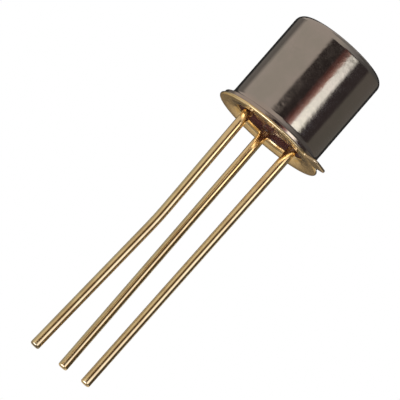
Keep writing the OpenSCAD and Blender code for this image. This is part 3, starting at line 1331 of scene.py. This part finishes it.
@dataclass(frozen=True)
class Viewpoint:
    """Camera, placed by the angles of its line of sight and by the part's place in the frame.

    Attributes:
        azimuth: Angle round the part, in degrees.
        elevation: Angle above the seating plane, in degrees.
        roll: Turn of the frame about the line of sight, in degrees.
        distance: Distance from the part's origin, in millimetres.
        offset: Place of the origin right of and above the frame's middle, in millimetres.
        lens: Focal length, in millimetres.
        sensor: Width of the sensor, in millimetres.
        clip: Nearest and farthest distance that it sees, in metres.
    """

    azimuth: float = -5.2145
    elevation: float = -8.4740
    roll: float = 40.9724
    distance: float = 158.5737
    offset: Point = (2.9161, 2.8315)
    lens: float = 329.26
    sensor: float = 36.0
    clip: tuple[float, float] = (0.001, 2.0)

    def build(self) -> None:
        """Adds the camera and makes it the scene's own."""
        a, e, r = (math.radians(v) for v in (self.azimuth, self.elevation, self.roll))
        back = Vector((math.sin(a) * math.cos(e), -math.cos(a) * math.cos(e), math.sin(e)))
        level = Vector((math.cos(a), math.sin(a), 0.0))
        rise = back.cross(level)
        right = level * math.cos(r) + rise * math.sin(r)
        up = -level * math.sin(r) + rise * math.cos(r)
        place = back * self.distance - right * self.offset[0] - up * self.offset[1]
        data = bpy.data.cameras.new("camera")
        data.sensor_width = self.sensor
        data.lens = self.lens
        data.clip_start, data.clip_end = self.clip
        camera = linked("camera", data)
        rows = [(right[i], up[i], back[i], place[i] * MM) for i in range(3)]
        camera.matrix_world = Matrix((*rows, (0.0, 0.0, 0.0, 1.0)))
        bpy.context.scene.camera = camera


@dataclass(frozen=True)
class Card:
    """Curved reflecting card that only glossy surfaces see.

    Attributes:
        name: Name of the card, after its prefix.
        sweep: First and last angle from the camera's side, in degrees, plus to the right.
        rise: Lowest and highest angle above the part's level, in degrees.
        first: Brightness at the first angle.
        last: Brightness at the last angle, where it is another one.
        steps: Widest step along the sweep and along the rise, in degrees.
    """

    name: str
    sweep: tuple[float, float]
    rise: tuple[float, float]
    first: Colour
    last: Colour | None = None
    steps: tuple[float, float] = (4.0, 6.0)

    def build(self, radius: float, front: float, material: Material) -> None:
        """Adds the card to the tent.

        Args:
            radius: Radius of the tent, in millimetres.
            front: Angle of the camera's side, in degrees.
            material: Glow that takes its colour from the mesh.
        """
        (start, end), (low, high) = self.sweep, self.rise
        across = max(2, math.ceil(abs(end - start) / self.steps[0]))
        upward = max(2, math.ceil(abs(high - low) / self.steps[1]))
        mesh = bmesh.new()
        layer = mesh.verts.layers.float_color.new("glow")
        grid = []
        for i in range(across + 1):
            t = i / across
            a = math.radians(front + start + (end - start) * t)
            ends = zip(self.first, self.last or self.first, strict=True)
            glow = rgba(tuple(p + (q - p) * t for p, q in ends))
            column = []
            for j in range(upward + 1):
                e = math.radians(low + (high - low) * j / upward)
                way = Vector((math.cos(a) * math.cos(e), math.sin(a) * math.cos(e), math.sin(e)))
                vert = mesh.verts.new(way * radius * MM)
                vert[layer] = glow
                column.append(vert)
            grid.append(column)
        for this, after in zip(grid, grid[1:], strict=False):
            for j in range(upward):
                mesh.faces.new([this[j], after[j], after[j + 1], this[j + 1]])
        name = f"card_{self.name}"
        data = bpy.data.meshes.new(name)
        mesh.to_mesh(data)
        mesh.free()
        data.materials.append(material)
        obj = linked(name, data)
        obj.visible_camera = False
        obj.visible_diffuse = False
        obj.visible_shadow = False
        obj.visible_transmission = False
        obj.visible_volume_scatter = False


@dataclass(frozen=True)
class Studio:
    """Pale floor, soft light and a tent of cards that the metal reflects.

    The floor and the tent are in millimetres, the lamp is in metres and watts.
    """

    viewpoint: Viewpoint
    tent_r: float = 60.0
    floor_z: float = -70.0
    floor_half: float = 420.0
    floor_colour: Colour = (0.9, 0.9, 0.89)
    floor_roughness: float = 0.9
    world_light: float = 0.72
    key_place: tuple[float, float, float] = (-0.07, -0.09, 0.12)
    key_size: float = 0.09
    key_power: float = 0.05

    @staticmethod
    def _wall_cards() -> list[Card]:
        """Cards that the can's wall and the edges of the flanges reflect.

        Returns:
            The cards.
        """
        black, shade, haze = tone(0.035), tone(0.085), tone(0.075, 0.25)
        dark, deep, dim = (0.042, 0.034, 0.034), (0.06, 0.049, 0.052), (0.18, 0.17, 0.155)
        red, warm, side = (0.21, 0.085, 0.072), (0.72, 0.42, 0.36), tone(0.22, 0.1)
        strip, flare = (1.8, 1.86, 1.82), (2.6, 2.65, 2.45)
        table, sand = (0.145, 0.117, 0.083), (0.5, 0.41, 0.27)
        level, short, base = (7.0, 26.0), (10.6, 16.0), (7.0, 10.6)
        return [
            Card("behind", (144, 216), (-6.5, 48), black),
            Card("table", (128, 232), (-14, -6.5), table),
            Card("table_low", (128, 232), (-36, -14), sand),
            Card("edge", (-144, -121), level, side),
            Card("edge_fade", (-121, -108), level, side, GREY),
            Card("grey", (-108, -31), level, GREY),
            Card("fade", (-31, -25), (9.9, 19), GREY, dark),
            Card("front", (-25, 4), (9.9, 19), dark),
            Card("foot_grey", (-31, -15), (7, 9.9), GREY),
            Card("foot_fade", (-15, -8), (7, 9.9), GREY, dark),
            Card("foot", (-8, 4), (7, 9.9), dark),
            Card("above", (-31, 4), (19, 26), GREY),
            Card("board", (4, 13), level, dark, red),
            Card("glow", (13, 21), (7, 16), red, warm),
            Card("rise", (21, 25), (7, 16), warm, strip),
            Card("flare", (25, 43), base, flare),
            Card("flare_fall", (43, 52), base, flare, dark),
            Card("strip", (25, 40), short, strip),
            Card("fall", (40, 47), short, strip, dark),
            Card("over", (13, 47), (16, 26), haze, shade),
            Card("right_foot", (52, 77), base, deep),
            Card("right", (47, 77), short, deep),
            Card("right_over", (47, 77), (16, 26), shade, deep),
            Card("right_high", (45, 77), (26, 48), tone(0.2), tone(0.11)),
            Card("turn", (77, 84), level, deep, dim),
            Card("dim", (84, 144), level, dim),
        ]

    @staticmethod
    def _wire_cards() -> list[Card]:
        """Cards that the leads reflect.

        Returns:
            The cards.
        """
        brown, shade, soft = (0.075, 0.045, 0.014), (0.06, 0.056, 0.048), (0.40, 0.42, 0.42)
        beige, cream = (0.65, 0.63, 0.585), (1.2, 1.3, 1.65)
        wire = (-18.0, 7.0)
        return [
            Card("wire_edge", (-144, -82), wire, soft),
            Card("wire_gain", (-82, -62), wire, soft, beige),
            Card("wire_left", (-62, -43), wire, beige),
            Card("wire_fade", (-43, -18), wire, beige, brown),
            Card("wire_dark", (-18, 6), wire, brown),
            Card("wire_rise", (6, 26), wire, brown, cream),
            Card("wire_strip", (26, 50), wire, cream),
            Card("wire_fall", (50, 66), wire, cream, shade),
            Card("wire_shade", (66, 128), wire, shade),
        ]

    @staticmethod
    def _low_cards() -> list[Card]:
        """Cards below, which the underside of the header and the glass reflect.

        Returns:
            The cards.
        """
        bright, beam, low = (2.8, 3.1, 3.9), (4.2, 4.7, 6.2), (-50.0, -18.0)
        return [
            Card("low_edge", (-130, -66), low, tone(0.5), tone(0.75)),
            Card("low_left", (-66, -34), low, bright),
            Card("low_front", (-34, -8), low, beam),
            Card("low_mid", (-8, 15), low, bright),
            Card("low_right", (15, 80), low, tone(0.14, 0.2)),
            Card("low_end", (80, 130), low, tone(0.6)),
            Card("under", (-180, 180), (-88, -50), tone(0.3, 0.15)),
        ]

    @staticmethod
    def _high_cards() -> list[Card]:
        """Cards above, which the can's top and its rounded corner reflect.

        Returns:
            The cards.
        """
        high, dome = (26.0, 72.0), (48.0, 72.0)
        return [
            Card("high_left", (-144, -15), high, GREY),
            Card("high_front", (-15, 20), high, GREY, tone(0.4)),
            Card("high_right", (20, 45), high, tone(0.4), tone(0.3)),
            Card("high_side", (45, 76), dome, tone(0.3), tone(0.25)),
            Card("high_dim", (76, 144), high, tone(0.16), tone(0.12)),
            Card("high_back", (144, 216), dome, tone(0.3), GREY),
            Card("roof", (-180, 180), (72, 90), tone(0.33)),
        ]

    def build(self) -> None:
        """Adds the camera, the floor, the lights and the cards."""
        self.viewpoint.build()
        bpy.context.scene.view_settings.view_transform = "Standard"
        self._world()
        self._floor()
        self._key()
        glow = self._glow()
        front = -90.0 + self.viewpoint.azimuth
        cards = self._wall_cards() + self._wire_cards() + self._low_cards() + self._high_cards()
        for card in cards:
            card.build(self.tent_r, front, glow)
        LOG.info("studio: %d cards", len(cards))

    @staticmethod
    def _glow() -> Material:
        """Makes the glow of the cards, whose colour comes from their meshes.

        Returns:
            The material.
        """
        material = bpy.data.materials.new("Card glow")
        material.use_nodes = True
        tree = material.node_tree
        tree.nodes.clear()
        colour = put(tree, "VertexColor", layer_name="glow")
        light = put(tree, "Emission", {"Color": colour.outputs["Color"], "Strength": 1.0})
        put(tree, "OutputMaterial", {"Surface": light.outputs[0]})
        return material

    def _world(self) -> None:
        """White to the camera, to gloss and to glass, and a little softer as light."""
        world = bpy.data.worlds.new("Studio")
        bpy.context.scene.world = world
        world.use_nodes = True
        tree = world.node_tree
        tree.nodes.clear()
        path = put(tree, "LightPath").outputs
        mirrored = maths(tree, "MAXIMUM", path["Is Glossy Ray"], path["Is Transmission Ray"])
        seen = maths(tree, "MAXIMUM", path["Is Camera Ray"], mirrored)
        colour = blended(tree, seen, tone(self.world_light), tone(1.0))
        light = put(tree, "Background", {"Color": colour, "Strength": 1.0})
        put(tree, "OutputWorld", {"Surface": light.outputs[0]})

    def _floor(self) -> None:
        """Pale matt floor, well below the leads."""
        half = self.floor_half
        mesh = bmesh.new()
        square = [(-half, -half), (half, -half), (half, half), (-half, half)]
        mesh.faces.new([mesh.verts.new((x, y, self.floor_z)) for x, y in square])
        obj = new_object("floor", mesh)
        material = bpy.data.materials.new("Pale floor")
        material.use_nodes = True
        shader = material.node_tree.nodes["Principled BSDF"]
        shader.inputs["Base Color"].default_value = rgba(self.floor_colour)
        shader.inputs["Roughness"].default_value = self.floor_roughness
        obj.data.materials.append(material)

    def _key(self) -> None:
        """Soft lamp above, on the camera's left, that gloss doesn't see."""
        data = bpy.data.lights.new("key", "AREA")
        data.shape = "SQUARE"
        data.size = self.key_size
        data.energy = self.key_power
        lamp = linked("key", data)
        lamp.location = self.key_place
        lamp.rotation_mode = "QUATERNION"
        lamp.rotation_quaternion = (-lamp.location).to_track_quat("-Z", "Y")
        lamp.visible_glossy = False


# ---------------------------------------------------------------- the whole part


@dataclass
class Transistor:
    """The whole part: can, header, glass, leads and the die inside.

    Sizes are in millimetres and angles in degrees. The posts are the base and emitter leads,
    whose heads stand above the header inside the can.
    """

    effects: Effects
    lead_circle_r: float = 1.27
    collector_top: float = 0.85
    collector_length: float = 13.6
    collector_splay: float = 0.6
    knee_depth: float = 5.9
    knee_r: float = 20.0
    knee_angle: float = 3.65
    post_top: float = 1.52
    post_length: float = 13.4
    post_lean: float = 0.75
    post_head: tuple[float, float] = (0.62, 0.1)
    root_bend_r: float = 8.0

    def lead_places(self) -> list[Point]:
        """Places of the collector, base and emitter leads."""
        r = self.lead_circle_r
        return [(-r, 0.0), (0.0, r), (r, 0.0)]

    def leads(self) -> list[Lead]:
        """The three leads, each with its own lean.

        Returns:
            The collector, base and emitter leads.
        """
        collector, base, emitter = self.lead_places()
        knee = math.radians(self.knee_angle) * self.knee_r
        splay = math.radians(self.collector_splay) * self.root_bend_r
        splayed = (0.0, self.root_bend_r, -self.collector_splay)
        kneed = (self.knee_depth - knee / 2 - splay, self.knee_r, self.knee_angle)
        leaning = (0.0, self.root_bend_r, self.post_lean)
        length = self.collector_length
        post = (self.post_top, self.post_length, [leaning], self.post_head)
        return [
            Lead(
                "collector_wire", "collector_lead", collector, Axis.MINUS_X,
                self.collector_top, length, [splayed, kneed],
            ),
            Lead("base_wire_lead", "base_lead", base, Axis.MINUS_Y, *post),
            Lead("emitter_wire_lead", "emitter_lead", emitter, Axis.MINUS_X, *post),
        ]

    def build(self, frame: dict[str, Any]) -> None:
        """Builds and dresses every piece.

        Args:
            frame: The loaded frame.
        """
        places = self.lead_places()
        Can().build(CanNickel().material(self.effects))
        header_gold = GoldPlate(
            name="Header gold",
            thin=(0.72, 0.52, 0.24),
            smooth=0.12,
            rough=0.24,
            line_depth=0.0,
            # Painted shade: the tab is painted darker and browner than the rest of the gold.
            painted_shade_from=2.72,
        )
        Header().build(header_gold.material(self.effects), places[1:])
        seal = GlassSeal()
        glass = SealGlass(leads=places, lead_r=seal.lead_r)
        seal.build(glass.material(self.effects), places)
        lead_gold = GoldPlate(
            name="Lead gold",
            smooth=0.1,
            rough=0.16,
            line_depth=0.0002,
            peel_depth=0.0001,
            nick_depth=0.0003,
            bare_below=-13.53,
        )
        wire_gold = lead_gold.material(self.effects)
        for lead in self.leads():
            lead.build(wire_gold)
        contact = SoftMetal(
            name="Contact film",
            colour=(0.8, 0.81, 0.83),
            dull=(0.62, 0.63, 0.66),
            smooth=0.15,
            rough=0.4,
        )
        wire = SoftMetal(
            name="Bond gold",
            colour=(0.95, 0.74, 0.36),
            dull=(0.85, 0.6, 0.27),
            smooth=0.12,
            rough=0.3,
        )
        soft, bright = contact.material(self.effects), wire.material(self.effects)
        stack = DieStack(
            {
                "die_preform": (bright, Slot.WIRE),
                "die": (Silicon().material(self.effects), Slot.SILICON),
                "base_contact": (soft, Slot.CONTACT),
                "emitter_contact": (soft, Slot.CONTACT),
                "base_wire": (bright, Slot.WIRE),
                "emitter_wire": (bright, Slot.WIRE),
            }
        )
        stack.dress_all(frame["nodes"])


def main() -> None:
    """Loads the frame and builds the part and the studio."""
    logging.basicConfig(level=logging.INFO, format="%(name)s: %(message)s")
    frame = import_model()
    Transistor(Effects()).build(frame)
    Studio(Viewpoint()).build()


if __name__ == "__main__":
    main()
